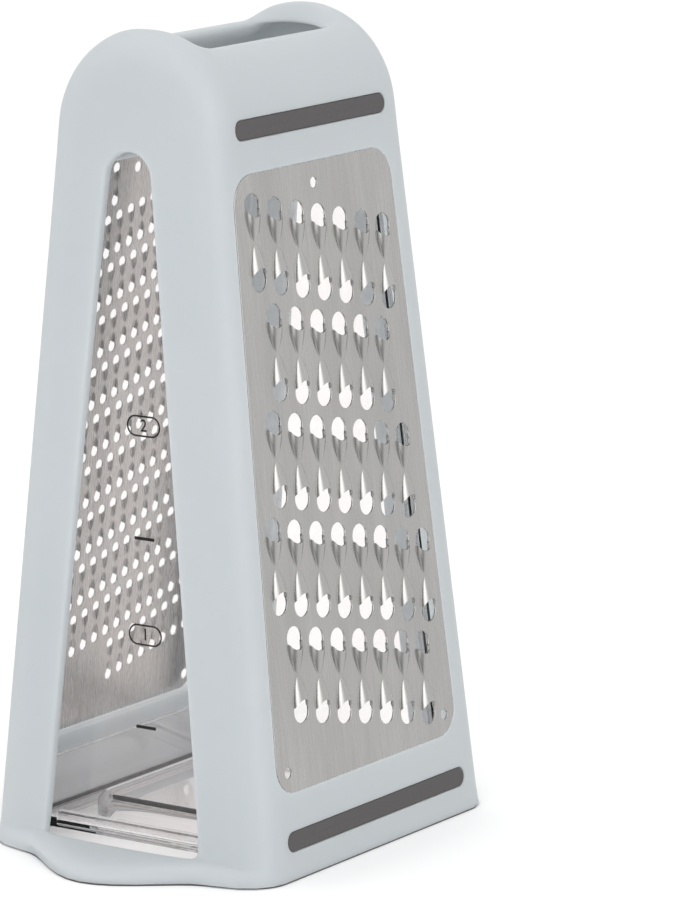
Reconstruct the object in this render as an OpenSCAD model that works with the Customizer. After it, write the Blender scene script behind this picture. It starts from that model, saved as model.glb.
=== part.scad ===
// Two-sided tower grater: a moulded housing with a coarse and a fine plate,
// four grip strips and a foot ring, standing over a clear container.
// Z is up. The origin is the centre of the footprint, on the standing surface.
// The coarse plate faces -Y, the fine plate +Y, and the windows face -X and +X.

/* [Housing] */
// Overall height
body_h = 209.4; // [195:0.1:225]
// Width of the base along X, without the ledges
body_w = 99; // [92:0.1:108]
// Depth of the base along Y
body_d = 88.9; // [85:0.1:98]
// Lean of the two grating faces, in degrees
face_lean = 5.8; // [5.2:0.1:6.2]
// Lean of the two window faces, in degrees
end_lean = 2.3; // [1.8:0.1:2.6]
// Radius of the upright corners
corner_r = 8.1; // [5:0.1:10]
// Rounding of the crown's two rims
crown_round = 9; // [6:0.1:11]
// Wall thickness at the base
wall = 3; // [2.4:0.1:3.4]
// Wall thickness over the crown
crown_wall = 4.3; // [3.5:0.1:5]

/* [Crown opening] */
// Length of the opening
slot_l = 54; // [44:0.1:60]
// Width of the opening
slot_w = 22.6; // [18:0.1:26]
// Corner radius of the opening
slot_r = 8; // [4:0.1:10]
// How far the saddle over the opening lies under the crown
saddle_drop = 5.2; // [3:0.1:6]
// Length of each ramp from the saddle up to the rim
saddle_ramp = 10; // [6:0.1:12]

/* [Windows] */
// Height of the sill above the standing surface
sill_z = 5.6; // [5:0.1:9]
// Depth of the window's top under the crown's axis
window_top_drop = 4.3; // [3:0.1:30]
// Width of the window at the sill
window_w = 45.8; // [36:0.1:50]
// Radius of the arch at the window's top
window_arch_r = 6.8; // [5:0.1:9]
// Radius of the two corners at the sill
window_corner_r = 2; // [1:0.1:4]

/* [Ledges] */
// Height of the ledge and skirt at the foot of each window
ledge_h = 5.5; // [4:0.1:8]
// Reach of the middle bulge beyond the skirt
ledge_reach = 12; // [8:0.1:15]
// Width over which the bulge swells
ledge_w = 60; // [44:0.1:66]
// Reach of the skirt
skirt_reach = 6.5; // [3:0.1:8]
// Wall of the hollow ledge
ledge_wall = 2.6; // [2.4:0.1:3]

/* [Foot ring] */
// Height of the ring under the housing
foot_h = 0.5; // [0.4:0.1:1]
// Width of the ring
foot_w = 1.7; // [1.2:0.1:1.8]
// How far the ring stays back from the outer edge
foot_inset = 0.35; // [0.2:0.05:0.5]

/* [Grip strips] */
// Height of a strip
strip_h = 5; // [4:0.1:7]
// Width of housing left beside a strip's end
strip_margin = 10.1; // [9:0.1:18]
// Depth of the upper strips' middle under the line where the crown starts
upper_strip_drop = 1; // [0:0.1:3]
// Height of the lower strips' middle, measured up the face
lower_strip_s = 9.8; // [8:0.1:12]
// Thickness of a strip
strip_t = 1.2; // [0.9:0.1:1.5]
// How far a strip's face lies under the housing's face
strip_sink = 0.15; // [0.05:0.05:0.3]

// Clearance round a strip or a plate in its recess
seat_gap = 0.1; // [0.05:0.05:0.3]

/* [Plates] */
// Thickness of the sheet
sheet_t = 0.5; // [0.4:0.05:0.8]
// Mean width of housing left beside a plate
plate_margin = 9.2; // [9:0.1:14]
// Height of a plate's bottom edge, measured up the face
plate_bottom_s = 21.9; // [18:0.1:26]
// Depth of a plate's top edge under the line where the crown starts
plate_top_drop = 11.9; // [9:0.1:20]
// Corner radius of a plate
plate_r = 7.5; // [5:0.1:9]
// Shift of both plates from the middle, along X
plate_shift = -1.9; // [-2:0.1:2]
// Width of the seat behind a plate's edge
seat_w = 3.2; // [2.5:0.1:4]
// Radius of the three index holes
index_r = 1.4; // [1:0.1:2]
// Distance of the top index hole from the plate's top edge
index_top = 5.3; // [4:0.1:6]
// Distance of the bottom index holes from the bottom edge
index_bottom = 5.3; // [4:0.1:6]
// Distance of the bottom index holes from the side edges
index_side = 5; // [4:0.1:6]

// Flat left between the tips of two facing teeth
tip_gap = 0.5; // [0.3:0.1:1.5]

/* [Coarse teeth] */
// Distance between neighbouring teeth in a row
coarse_pitch = 9; // [8:0.1:9.2]
// Distance between pairs of rows
coarse_pair_pitch = 27; // [25:0.1:28]
// Distance between the two openings of a pair
coarse_pair_gap = 18.5; // [17:0.1:19.5]
// Radius of an opening
coarse_r = 3; // [2.4:0.1:3.4]
// Height of a tooth's lip above the sheet
coarse_lift = 1.8; // [1.2:0.1:2.4]
// Depth of the first row under the plate's top edge, at the housing's middle
coarse_top_drop = 13.9; // [13:0.1:16]
// Sideways shift of the pattern on its plate
coarse_shift = 0.5; // [-1:0.1:1]
// Least distance of an opening's middle from the plate's side and top edges
coarse_margin = 4.8; // [4.4:0.1:6]
// Least distance of an opening's middle from the plate's bottom edge
coarse_bottom_margin = 6.5; // [5:0.1:7]

/* [Fine teeth] */
// Distance between neighbouring teeth in a row
fine_pitch = 4.64; // [4.2:0.02:5.2]
// Distance between pairs of rows
fine_pair_pitch = 13; // [12:0.1:14]
// Distance between the two openings of a pair
fine_pair_gap = 8.4; // [7.6:0.1:9]
// Radius of an opening
fine_r = 1.3; // [1:0.05:1.5]
// Height of a tooth's lip above the sheet
fine_lift = 0.8; // [0.6:0.05:1.2]
// Depth of the first row under the plate's top edge, at the housing's middle
fine_top_drop = 2.1; // [0:0.1:3]
// Sideways shift of the pattern on its plate
fine_shift = -0.4; // [-2:0.1:2]
// Least distance of an opening's middle from the plate's side and top edges
fine_margin = 3.9; // [3:0.1:5]
// Least distance of an opening's middle from the plate's bottom edge
fine_bottom_margin = 12; // [10:0.1:14]

/* [Container] */
// Depth of the end walls' top under the crown's axis
box_top_drop = 1.7; // [1:0.1:30]
// Wall thickness
box_wall = 2.2; // [1.8:0.1:2.6]
// Height of the floor beside the raised middle
box_floor_z = 5.5; // [4.5:0.1:7]
// Thickness of the floor
box_floor_t = 2; // [1.6:0.1:2.4]
// Height of the raised middle of the floor
box_raise_z = 11; // [9:0.1:13]
// Length of the raised middle
box_raise_l = 62; // [50:0.1:66]
// Width of the raised middle
box_raise_w = 53; // [44:0.1:58]
// Height of the low walls along the plates
box_side_z = 19; // [15:0.1:24]
// Width of each end wall's return behind a plate
box_return = 7; // [5:0.1:9]
// Corner radius of the container
box_r = 5; // [3.5:0.1:6]
// Clearance between the end walls and the windows, at the base
end_gap = 5.2; // [4.6:0.1:7]
// Clearance at the end walls' top
top_gap = 0.7; // [0.5:0.1:1.2]
// Clearance between the side walls and the housing
side_gap = 1.2; // [0.8:0.1:1.8]
// Reach of the finger lip at each end
lip_reach = 3; // [2:0.1:3.6]
// Width of the finger lip
lip_w = 53; // [44:0.1:58]
// Thickness of the finger lip
lip_t = 3.4; // [2.6:0.1:4]

/* [Hidden] */

// One overrun for every cut
over = body_w / 100;

// Radius and axis height of the crown, tangent to both grating faces
crown_r = (body_d / 2 * cos(face_lean) - body_h * sin(face_lean)) / (1 - sin(face_lean));
crown_z = body_h - crown_r;
// Half length of the crown at the top of its flat ends
crown_end_z = crown_z + crown_r - crown_round;
crown_half_l = body_w / 2 - crown_end_z * tan(end_lean);
// Height of the line where the crown starts, measured up the face
crown_s = (crown_z + crown_r * sin(face_lean)) / cos(face_lean);
window_top_z = crown_z - window_top_drop;
box_h = crown_z - box_top_drop;
// Upright band at the very foot of the housing
band_h = foot_h;

// Inside of the housing
inner_r = crown_r - crown_wall;
inner_round = crown_round - wall;
inner_half_l = crown_half_l - wall;

// Depth of the recesses
strip_recess = strip_t + strip_sink;
plate_recess = sheet_t;

// Strips and plates on the faces
upper_strip_s = crown_s - upper_strip_drop;
upper_strip_l = 2 * (half_width(upper_strip_s * cos(face_lean)) - strip_margin);
lower_strip_l = 2 * (half_width(lower_strip_s * cos(face_lean)) - strip_margin);
plate_top_s = crown_s - plate_top_drop;
plate_bottom_w = 2 * (half_width(plate_bottom_s * cos(face_lean)) - plate_margin);
plate_top_w = 2 * (half_width(plate_top_s * cos(face_lean)) - plate_margin);
coarse_top_s = plate_top_s - coarse_top_drop;
fine_top_s = plate_top_s - fine_top_drop;

// Share of a row's rise over its run, from one side of a plate to the other
slant_share = -0.223;
// Width of a tooth as a share of its opening's width
tooth_w_share = 0.93;
// Exponents of the ledge's section and of the skirt's plan
ledge_power = 2.6;
skirt_power = 3.2;
// Share of a corner's radius that the skirt stays clear of
skirt_end_share = 0.75;
// Steps along and up the ledge
ledge_steps = 28;
ledge_levels = 6;
// Steps along the saddle's ramp
ramp_steps = 6;

housing_colour = [0.80, 0.83, 0.84];
rubber_colour = [0.38, 0.37, 0.37];
steel_colour = [0.72, 0.72, 0.72];
clear_colour = [0.85, 0.88, 0.90, 0.35];

function half_width(z) = body_w / 2 - z * tan(end_lean);

// Points of an arc, from one angle to another
function arc(cx, cy, r, a0, a1, n) =
    [for (i = [0 : n]) let (a = a0 + (a1 - a0) * i / n) [cx + r * cos(a), cy + r * sin(a)]];

// A tapered outline with round corners: half widths, ends and radii at bottom and top
function tapered(hb, ht, yb, yt, rb, rt, n = 8) =
    let (e = atan((hb - ht) / (yt - yb)),
        xb = hb - rb * (1 + sin(e)) / cos(e),
        xt = max(0, ht - rt * (1 - sin(e)) / cos(e)))
    concat(arc(xb, yb + rb, rb, -90, e, n), arc(xt, yt - rt, rt, e, 90, n),
        arc(-xt, yt - rt, rt, 90, 180 - e, n), arc(-xb, yb + rb, rb, 180 - e, 270, n));

// A plate's outline, grown or shrunk by d
function plate_outline(d) = tapered(plate_bottom_w / 2 + d, plate_top_w / 2 + d,
    plate_bottom_s - d, plate_top_s + d, plate_r + d, plate_r + d);

// Places children on a grating face: X across, Y up the face, Z outwards
module on_front() {
    translate([0, -body_d / 2, 0])
        rotate([90 - face_lean, 0, 0])
            children();
}

module on_back() {
    rotate([0, 0, 180])
        on_front()
            children();
}

// A stadium along X
module stadium(l, h) {
    square([l - h, h], center = true);
    for (x = [-1, 1])
        translate([x * (l - h) / 2, 0])
            circle(d = h, $fn = 32);
}

// A rounded rectangle
module rounded(w, d, r) {
    polygon(tapered(w / 2, w / 2, -d / 2, d / 2, r, r));
}

// A cylinder along X with rounded rims
module crown_form(r, half_l, round_r) {
    translate([0, 0, crown_z])
        rotate([0, 90, 0])
            rotate_extrude($fn = 64)
                polygon(concat([[0, -half_l]],
                    arc(r - round_r, round_r - half_l, round_r, -90, 0, 6),
                    arc(r - round_r, half_l - round_r, round_r, 0, 90, 6),
                    [[0, half_l]]));
}

module body_form() {
    hull() {
        translate([0, 0, foot_h])
            linear_extrude(band_h)
                rounded(body_w, body_d, corner_r);
        crown_form(crown_r, crown_half_l, crown_round);
    }
}

module body_hollow() {
    hull() {
        translate([0, 0, foot_h - over])
            linear_extrude(over)
                rounded(body_w - 2 * wall, body_d - 2 * wall, corner_r - wall);
        crown_form(inner_r, inner_half_l, inner_round);
    }
}

// The ledge starts this far inside the wall, so that its ends run into the face
ledge_sink = wall / 4;
// Reach of the skirt and ledge beyond the window face, across the end
skirt_half_w = body_d / 2 - corner_r * skirt_end_share;
function skirt(y) = (skirt_reach + ledge_sink) * (1 - pow(min(1, abs(y) / skirt_half_w), skirt_power))
    - ledge_sink;
function bulge(y) = abs(y) < ledge_w / 2 ? ledge_reach / 2 * (1 + cos(360 * y / ledge_w)) : 0;
function reach(y) = skirt(y) + bulge(y);
// Share of that reach which is left at a share t of the ledge's height
function reach_share(t) = pow(max(0, 1 - pow(t, ledge_power)), 1 / ledge_power);

// Section through the ledge at y, as points, set back by d for its hollow
function ledge_section(y, d, x_back, z_low) =
    let (h = ledge_h - foot_h - d, out = reach(y) - d + ledge_sink)
    concat([[x_back, y, z_low]],
        [for (j = [0 : ledge_levels])
            let (z = foot_h + h * sin(90 * j / ledge_levels), t = (z - foot_h) / h)
            [half_width(z) - ledge_sink + out * reach_share(t), y, j == 0 ? z_low : z]],
        [[x_back, y, foot_h + h]]);

// The solid or the hollow of the ledge at the +X end
module ledge_form(half_y, d, x_back, z_low) {
    m = ledge_levels + 3;
    sections = [for (i = [0 : ledge_steps])
        ledge_section(half_y * (2 * i / ledge_steps - 1), d, x_back, z_low)];
    points = [for (s = sections) for (p = s) p];
    sides = [for (i = [0 : ledge_steps - 1]) for (j = [0 : m - 1])
        let (k = (j + 1) % m)
        each [[i * m + j, (i + 1) * m + k, (i + 1) * m + j], [i * m + j, i * m + k, (i + 1) * m + k]]];
    first = [for (j = [m - 1 : -1 : 0]) j];
    last = [for (j = [0 : m - 1]) ledge_steps * m + j];
    polyhedron(points, concat(sides, [first, last]), convexity = 4);
}

module at_ends() {
    children();
    rotate([0, 0, 180])
        children();
}

// Outline of the housing's foot
module foot_plan(d) {
    offset(delta = -d) {
        rounded(body_w, body_d, corner_r);
        for (s = [-1, 1])
            polygon(concat([[s * body_w / 4, skirt_half_w]],
                [for (i = [0 : ledge_steps])
                    let (y = skirt_half_w * (1 - 2 * i / ledge_steps))
                    [s * (half_width(foot_h) + reach(y)), y]],
                [[s * body_w / 4, -skirt_half_w]]));
    }
}

module window_cut() {
    rotate([90, 0, 90])
        translate([0, 0, -body_w])
            linear_extrude(2 * body_w)
                polygon(tapered(window_w / 2, window_arch_r, sill_z, window_top_z,
                    window_corner_r, window_arch_r));
}

module saddle_cut() {
    half_flat = slot_l / 2 - slot_r / 2;
    low = body_h - saddle_drop;
    ramp = [for (i = [0 : ramp_steps])
        let (t = i / ramp_steps)
        [half_flat + saddle_ramp * t, low + (saddle_drop + over) / 2 * (1 - cos(180 * t))]];
    top = body_h + 2 * over;
    rotate([90, 0, 0])
        translate([0, 0, -body_d / 2])
            linear_extrude(body_d)
                polygon(concat(ramp, [[half_flat + saddle_ramp, top], [-half_flat - saddle_ramp, top]],
                    [for (i = [ramp_steps : -1 : 0]) [-ramp[i][0], ramp[i][1]]]));
}

module face_cuts() {
    // Recess for the plate, and the opening behind it
    translate([plate_shift, 0, -plate_recess])
        linear_extrude(plate_recess + over)
            polygon(plate_outline(seat_gap));
    translate([plate_shift, 0, -2 * crown_wall])
        linear_extrude(2 * crown_wall)
            polygon(plate_outline(-seat_w));
    // Recesses for the strips
    translate([0, upper_strip_s, -strip_recess])
        linear_extrude(strip_recess + over)
            stadium(upper_strip_l + 2 * seat_gap, strip_h + 2 * seat_gap);
    translate([0, lower_strip_s, -strip_recess])
        linear_extrude(strip_recess + over)
            stadium(lower_strip_l + 2 * seat_gap, strip_h + 2 * seat_gap);
}

module housing() {
    color(housing_colour)
        difference() {
            union() {
                body_form();
                at_ends()
                    ledge_form(skirt_half_w, 0, body_w / 2 - wall / 2, foot_h);
            }
            body_hollow();
            at_ends()
                ledge_form(ledge_w / 2, ledge_wall, body_w / 2 - 2 * wall, foot_h - over);
            window_cut();
            saddle_cut();
            translate([0, 0, crown_z])
                linear_extrude(crown_r + over)
                    rounded(slot_l, slot_w, slot_r);
            on_front()
                face_cuts();
            on_back()
                mirror([1, 0, 0])
                    face_cuts();
        }
}

module foot_ring() {
    color(rubber_colour)
        linear_extrude(foot_h)
            difference() {
                foot_plan(foot_inset);
                foot_plan(foot_inset + foot_w);
            }
}

module strip(l, s) {
    color(rubber_colour)
        translate([0, s, -strip_recess])
            linear_extrude(strip_t)
                stadium(l, strip_h);
}

module front_upper_strip() {
    on_front()
        strip(upper_strip_l, upper_strip_s);
}

module front_lower_strip() {
    on_front()
        strip(lower_strip_l, lower_strip_s);
}

module back_upper_strip() {
    on_back()
        strip(upper_strip_l, upper_strip_s);
}

module back_lower_strip() {
    on_back()
        strip(lower_strip_l, lower_strip_s);
}

// A tooth stands over the sheet at z = 0, with its opening at the origin.
// It rises from its tip at -l to its lip at the opening's edge.
module tooth_cylinder(r, l, lift, cut) {
    a = atan(lift / (l - r));
    tooth_r = r * tooth_w_share;
    translate([0, -l, 0])
        rotate([a - 90, 0, 0])
            translate([0, tooth_r, -l])
                cylinder(r = tooth_r - cut, h = 3 * l, $fn = 32);
}

module tooth(r, l, lift) {
    intersection() {
        tooth_cylinder(r, l, lift, 0);
        translate([-r - over, -2 * l, -sheet_t / 2])
            cube([2 * (r + over), 2 * l, lift + sheet_t]);
    }
}

// Hollow under a tooth, through the sheet
module tooth_hollow(r, l, lift) {
    intersection() {
        tooth_cylinder(r, l, lift, sheet_t);
        translate([-r, -l, -sheet_t - over])
            cube([2 * r, l + over, lift + sheet_t + 2 * over]);
    }
}

// Opening through the sheet, which also cuts the tooth's lip
module tooth_opening(r, lift) {
    translate([0, 0, -sheet_t - over])
        cylinder(r = r, h = lift + 2 * (sheet_t + over), $fn = 32);
}

index_x = plate_bottom_w / 2 - index_side;
index_spots = [[0, plate_top_s - index_top], [index_x, plate_bottom_s + index_bottom],
    [-index_x, plate_bottom_s + index_bottom]];
function half_plate(s) = plate_bottom_w / 2
    - (plate_bottom_w - plate_top_w) / 2 * (s - plate_bottom_s) / (plate_top_s - plate_bottom_s);
function index_gap(p) = min([for (q = index_spots) norm(p - q)]) - index_r;

// Places of the teeth on a plate: x, y up the face, and 1 or -1 for the way they open.
// Pairs of rows alternate by half a pitch and slant about the housing's middle.
function tooth_spots(pitch, pair_pitch, pair_gap, top_s, shift, middle_x, margin, bottom_margin, clear) =
    let (pairs = ceil((plate_top_s - plate_bottom_s) / pair_pitch),
        columns = ceil(plate_bottom_w / pitch / 2))
    [for (j = [0 : pairs]) for (k = [-columns : columns])
        let (x = shift + (k + (j % 2) / 2) * pitch,
            s = top_s - j * pair_pitch + slant_share * (x - middle_x),
            low = s - pair_gap)
        if (s < plate_top_s - margin && low > plate_bottom_s + bottom_margin
            && abs(x) < half_plate(s) - margin
            && index_gap([x, s]) > clear && index_gap([x, low]) > clear)
        each [[x, s, 1], [x, low, -1]]];

coarse_spots = tooth_spots(coarse_pitch, coarse_pair_pitch, coarse_pair_gap, coarse_top_s,
    coarse_shift, -plate_shift, coarse_margin, coarse_bottom_margin, coarse_pitch / 2);
coarse_l = (coarse_pair_gap - tip_gap) / 2;
fine_spots = tooth_spots(fine_pitch, fine_pair_pitch, fine_pair_gap, fine_top_s,
    fine_shift, plate_shift, fine_margin, fine_bottom_margin, fine_pitch);
fine_l = (fine_pair_gap - tip_gap) / 2;

module index_holes() {
    for (p = index_spots)
        translate([p[0], p[1], -sheet_t - over])
            cylinder(r = index_r, h = sheet_t + 2 * over, $fn = 24);
}

module sheet() {
    translate([0, 0, -sheet_t])
        linear_extrude(sheet_t)
            polygon(plate_outline(0));
}

module at_spot(p) {
    translate([p[0], p[1], 0])
        rotate([0, 0, p[2] > 0 ? 0 : 180])
            children();
}

module coarse_plate() {
    color(steel_colour)
        on_front()
            translate([plate_shift, 0, 0])
                difference() {
                    union() {
                        sheet();
                        for (p = coarse_spots)
                            at_spot(p)
                                tooth(coarse_r, coarse_l, coarse_lift);
                    }
                    for (p = coarse_spots)
                        at_spot(p) {
                            tooth_hollow(coarse_r, coarse_l, coarse_lift);
                            tooth_opening(coarse_r, coarse_lift);
                        }
                    index_holes();
                }
}

module fine_plate() {
    color(steel_colour)
        on_back()
            translate([-plate_shift, 0, 0])
                difference() {
                    union() {
                        sheet();
                        for (p = fine_spots)
                            at_spot(p)
                                tooth(fine_r, fine_l, fine_lift);
                    }
                    for (p = fine_spots)
                        at_spot(p)
                            tooth_opening(fine_r, fine_lift);
                    index_holes();
                }
}

// Container, tapered like the inside of the housing
box_base_half_l = body_w / 2 - wall - end_gap;
box_top_half_l = inner_half_l - top_gap;
box_base_half_w = body_d / 2 - wall - side_gap;
box_top_half_w = inner_r - top_gap;

// Corner radius of the raised floor and of the side openings
raise_r = box_r;
box_cut_r = box_r;
// Underside of the floor
box_under_z = box_floor_z - box_floor_t;
// Corner radius of the finger lip, as a share of its whole depth
lip_round_share = 0.45;

function box_half_l(z) = box_base_half_l - (box_base_half_l - box_top_half_l) * z / box_h;
function box_half_w(z) = box_base_half_w - (box_base_half_w - box_top_half_w) * z / box_h;

// A thin slice of the container's outer form, shrunk by d
module box_slice(d, z) {
    translate([0, 0, z])
        linear_extrude(over)
            rounded(2 * (box_half_l(z) - d), 2 * (box_half_w(z) - d), box_r - d);
}

// The container's outer form, shrunk by d, from z_low up to z_high
module box_form(d, z_low, z_high) {
    intersection() {
        hull() {
            box_slice(d, -3 * over);
            box_slice(d, box_h + 2 * over);
        }
        translate([-body_w, -body_d, z_low])
            cube([2 * body_w, 2 * body_d, z_high - z_low]);
    }
}

// Openings above the low side walls, between the returns of the end walls
module box_side_cut() {
    rotate([90, 0, 0])
        translate([0, 0, -body_d])
            linear_extrude(2 * body_d)
                polygon(tapered(box_base_half_l - box_return, box_top_half_l - box_return,
                    box_side_z, box_h + 2 * box_cut_r, box_cut_r, box_cut_r));
}

module raised_floor(d, z_low) {
    translate([0, 0, z_low])
        linear_extrude(box_raise_z - d - z_low)
            rounded(box_raise_l - 2 * d, box_raise_w - 2 * d, raise_r - d);
}

module finger_lip() {
    translate([box_base_half_l + (lip_reach - box_wall) / 2, 0, box_floor_z])
        linear_extrude(lip_t)
            rounded(lip_reach + box_wall, lip_w, lip_round_share * (lip_reach + box_wall));
}

module container() {
    color(clear_colour)
        difference() {
            union() {
                difference() {
                    box_form(0, 0, box_h);
                    box_form(box_wall, box_floor_z, box_h + over);
                    box_side_cut();
                }
                raised_floor(0, box_under_z);
                at_ends()
                    finger_lip();
            }
            box_form(box_wall, -over, box_under_z);
            raised_floor(box_wall, -over);
        }
}

housing();
foot_ring();
coarse_plate();
fine_plate();
front_upper_strip();
front_lower_strip();
back_upper_strip();
back_lower_strip();
container();
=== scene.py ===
# Two-sided kitchen grater that stands over its clear measuring container
import math
import bpy
from mathutils import Matrix, Vector


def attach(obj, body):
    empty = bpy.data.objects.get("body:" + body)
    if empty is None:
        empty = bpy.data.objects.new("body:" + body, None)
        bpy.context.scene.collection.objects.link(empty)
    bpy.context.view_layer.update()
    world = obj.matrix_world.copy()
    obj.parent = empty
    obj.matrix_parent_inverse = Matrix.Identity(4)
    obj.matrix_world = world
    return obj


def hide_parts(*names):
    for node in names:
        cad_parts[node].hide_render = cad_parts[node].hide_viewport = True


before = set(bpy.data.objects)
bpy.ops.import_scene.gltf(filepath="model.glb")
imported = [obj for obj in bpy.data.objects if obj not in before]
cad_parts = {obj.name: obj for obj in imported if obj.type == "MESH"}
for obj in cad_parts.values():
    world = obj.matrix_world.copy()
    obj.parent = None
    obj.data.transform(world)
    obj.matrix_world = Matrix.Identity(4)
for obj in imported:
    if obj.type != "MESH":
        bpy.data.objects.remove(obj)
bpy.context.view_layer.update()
mm = 0.001
print("frame loaded:", len(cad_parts), "nodes")


# Small helpers for working on one piece at a time

def deselectAll():
    if bpy.context.object and bpy.context.object.mode != "OBJECT":
        bpy.ops.object.mode_set(mode="OBJECT")
    bpy.ops.object.select_all(action="DESELECT")


def makeActive(piece):
    deselectAll()
    piece.select_set(True)
    bpy.context.view_layer.objects.active = piece
    return piece


def nameNew(name):
    # the primitive just added, under its own name
    piece = bpy.context.object
    piece.name = name
    piece.data.name = name
    return piece


def editAll(piece):
    makeActive(piece)
    bpy.ops.object.mode_set(mode="EDIT")
    bpy.ops.mesh.select_all(action="SELECT")


def tidyNormals(piece, mergeMm=0.001):
    editAll(piece)
    bpy.ops.mesh.remove_doubles(threshold=mergeMm * mm)
    bpy.ops.mesh.normals_make_consistent(inside=False)
    bpy.ops.object.mode_set(mode="OBJECT")


def selectFaces(piece, test):
    # stays in edit mode, with only the faces selected that pass the test
    makeActive(piece)
    bpy.ops.object.mode_set(mode="EDIT")
    bpy.ops.mesh.select_mode(type="FACE")
    bpy.ops.mesh.select_all(action="DESELECT")
    bpy.ops.object.mode_set(mode="OBJECT")
    for face in piece.data.polygons:
        face.select = test(face)
    bpy.ops.object.mode_set(mode="EDIT")


def selectEdges(piece, test):
    # the same for edges: the test gets an edge's two ends
    makeActive(piece)
    bpy.ops.object.mode_set(mode="EDIT")
    bpy.ops.mesh.select_mode(type="EDGE")
    bpy.ops.mesh.select_all(action="DESELECT")
    bpy.ops.object.mode_set(mode="OBJECT")
    points = piece.data.vertices
    for edge in piece.data.edges:
        edge.select = test(points[edge.vertices[0]].co, points[edge.vertices[1]].co)
    bpy.ops.object.mode_set(mode="EDIT")


def applyModifiers(piece):
    makeActive(piece)
    for modifier in list(piece.modifiers):
        bpy.ops.object.modifier_apply(modifier=modifier.name)


def combine(piece, other, operation="DIFFERENCE"):
    # cuts the other piece away, or adds it, and removes it
    change = piece.modifiers.new("combine", "BOOLEAN")
    change.operation = operation
    change.solver = "EXACT"
    change.object = other
    applyModifiers(piece)
    bpy.data.objects.remove(other, do_unlink=True)


def roundEdges(piece, width, segments, angle=40):
    # rounds every edge that turns more than the angle
    rounding = piece.modifiers.new("rounding", "BEVEL")
    rounding.width = width * mm
    rounding.segments = segments
    rounding.limit_method = "ANGLE"
    rounding.angle_limit = math.radians(angle)
    applyModifiers(piece)


def roundFace(piece, width, segments, up=1, level=0.9):
    # rounds the edges of the faces that look up, or down where up is -1
    selectFaces(piece, lambda face: face.normal.z * up > level)
    bpy.ops.mesh.bevel(offset=width * mm, segments=segments, affect="EDGES")
    bpy.ops.object.mode_set(mode="OBJECT")


def joinAll(pieces, name):
    makeActive(pieces[0])
    for piece in pieces:
        piece.select_set(True)
    bpy.ops.object.join()
    return nameNew(name)


def placeBy(piece, matrix):
    # moves a piece and puts its place into its mesh
    makeActive(piece)
    piece.matrix_world = matrix
    bpy.ops.object.transform_apply(location=True, rotation=True, scale=True)


def smoothShade(piece, angle=35):
    # large flat faces keep their own normals, so that they shade and refract as flat
    makeActive(piece)
    bpy.ops.object.shade_smooth_by_angle(angle=math.radians(angle))
    normals = piece.modifiers.new("normals", "WEIGHTED_NORMAL")
    normals.keep_sharp = True
    normals.weight = 100
    applyModifiers(piece)


def easeBetween(low, high, value):
    t = min(1, max(0, (value - low) / (high - low)))
    return t * t * (3 - 2 * t)


def drawTablet(name, halfLow, halfHigh, low, high, corner, bottom, top, flare=0):
    # a flat tablet with round corners, drawn on X and Y and raised along Z, in mm.
    # A flare widens its last stretch, which leaves a cut with a soft edge.
    deselectAll()
    bpy.ops.mesh.primitive_plane_add(size=2)
    tablet = nameNew(name)
    for vertex in tablet.data.vertices:
        half = halfHigh if vertex.co.y > 0 else halfLow
        y = high if vertex.co.y > 0 else low
        vertex.co = Vector((math.copysign(half, vertex.co.x), y, bottom)) * mm
    editAll(tablet)
    bpy.ops.mesh.bevel(offset=corner * mm, segments=12, affect="VERTICES")
    height = -flare - bottom if flare else top - bottom
    bpy.ops.mesh.extrude_region_move(TRANSFORM_OT_translate={"value": (0, 0, height * mm)})
    if flare:
        bpy.ops.mesh.extrude_region_move(TRANSFORM_OT_translate={"value": (0, 0, flare * mm)})
        widen = 1 + flare / halfLow
        lengthen = 1 + 2 * flare / (high - low)
        bpy.ops.transform.resize(value=(widen, lengthen, 1),
                                 center_override=(0, (low + high) / 2 * mm, 0))
        bpy.ops.mesh.extrude_region_move(TRANSFORM_OT_translate={"value": (0, 0, top * mm)})
    bpy.ops.object.mode_set(mode="OBJECT")
    tidyNormals(tablet)
    return tablet


# Finishes. Colours are sRGB hex, pattern sizes are in mm.

def linearColour(code):
    parts = [int(code[i:i + 2], 16) / 255 for i in (1, 3, 5)]
    return [p / 12.92 if p <= 0.04045 else ((p + 0.055) / 1.055) ** 2.4 for p in parts] + [1]


def addNode(tree, kind, inputs=None, settings=None, links=None):
    node = tree.nodes.new(kind)
    for name, value in (settings or {}).items():
        setattr(node, name, value)
    for name, value in (inputs or {}).items():
        node.inputs[name].default_value = value
    for name, source in (links or {}).items():
        tree.links.new(source, node.inputs[name])
    return node


def newFinish(name, **values):
    finish = bpy.data.materials.new(name)
    finish.use_nodes = True
    tree = finish.node_tree
    shader = tree.nodes["Principled BSDF"]
    for socket, value in values.items():
        shader.inputs[socket.replace("_", " ")].default_value = value
    return finish, tree, shader


def perMm(size):
    # how many repeats of a pattern fit in a metre
    return 1 / (size * mm)


def coordinates(tree, stretch=(1, 1, 1)):
    place = addNode(tree, "ShaderNodeTexCoord")
    return addNode(tree, "ShaderNodeMapping", {"Scale": stretch},
                   links={"Vector": place.outputs["Object"]}).outputs["Vector"]


def toneBetween(tree, shader, factor, dark, light):
    # the base colour runs from dark to light with the factor
    mix = addNode(tree, "ShaderNodeMix", settings={"data_type": "RGBA"}, links={"Factor": factor})
    mix.inputs["A"].default_value = linearColour(dark)
    mix.inputs["B"].default_value = linearColour(light)
    tree.links.new(mix.outputs["Result"], shader.inputs["Base Color"])


def roughBetween(tree, shader, factor, low, high):
    # the roughness runs from low to high with the factor
    rough = addNode(tree, "ShaderNodeMapRange", {"To Min": low, "To Max": high},
                    links={"Value": factor})
    tree.links.new(rough.outputs["Result"], shader.inputs["Roughness"])


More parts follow.
